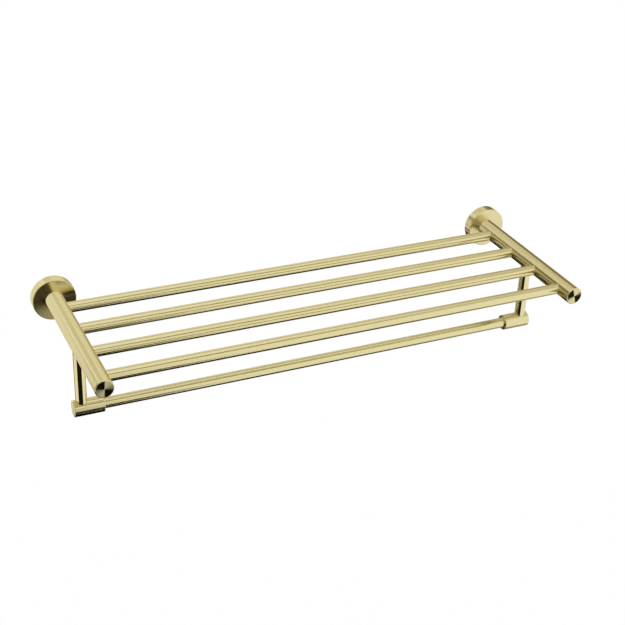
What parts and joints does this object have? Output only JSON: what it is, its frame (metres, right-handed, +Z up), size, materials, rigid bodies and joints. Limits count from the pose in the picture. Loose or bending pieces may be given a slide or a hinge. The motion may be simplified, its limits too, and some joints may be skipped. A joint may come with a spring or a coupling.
{
  "type": "towel shelf",
  "caption": "Wall-mounted towel shelf: round arms on round rosettes, straight round shelf bars between them, and a towel bar hung below on posts and cylindrical holders.",
  "frame": {"origin": "on the wall plane, at the height of the arm axes, half way between the two arms", "axes": "+X along the shelf bars to the viewer's right, +Y into the wall, +Z up; the shelf reaches out along -Y"},
  "size_m": [0.653, 0.223, 0.1265],
  "materials": {
    "brushed_gold": "brushed pale gold, fine lines along the bars and round the turned faces",
    "zinc_casting": "plain grey, as cast",
    "plated_steel": "bright zinc-plated"
  },
  "bodies": {
    "root": {"rosette_left": "brushed_gold", "rosette_right": "brushed_gold", "arm_tube_left": "brushed_gold", "arm_tube_right": "brushed_gold", "arm_end_cap_left": "brushed_gold", "arm_end_cap_right": "brushed_gold", "shelf_bar_rear": "brushed_gold", "shelf_bar_mid_rear": "brushed_gold", "shelf_bar_mid_front": "brushed_gold", "shelf_bar_front": "brushed_gold", "post_left": "brushed_gold", "post_right": "brushed_gold", "bar_holder_left": "brushed_gold", "bar_holder_right": "brushed_gold", "towel_bar": "brushed_gold", "wall_plate_left": "zinc_casting", "wall_plate_right": "zinc_casting", "rosette_grub_screw_left": "plated_steel", "rosette_grub_screw_right": "plated_steel", "arm_root_bush_left": "plated_steel", "arm_root_bush_right": "plated_steel", "arm_screw_left": "plated_steel", "arm_screw_right": "plated_steel", "post_nut_left": "plated_steel", "post_nut_right": "plated_steel", "post_stud_left": "plated_steel", "post_stud_right": "plated_steel", "holder_screw_left": "plated_steel", "holder_screw_right": "plated_steel", "holder_grub_screw_left": "plated_steel", "holder_grub_screw_right": "plated_steel"}
  },
  "joints": []
}
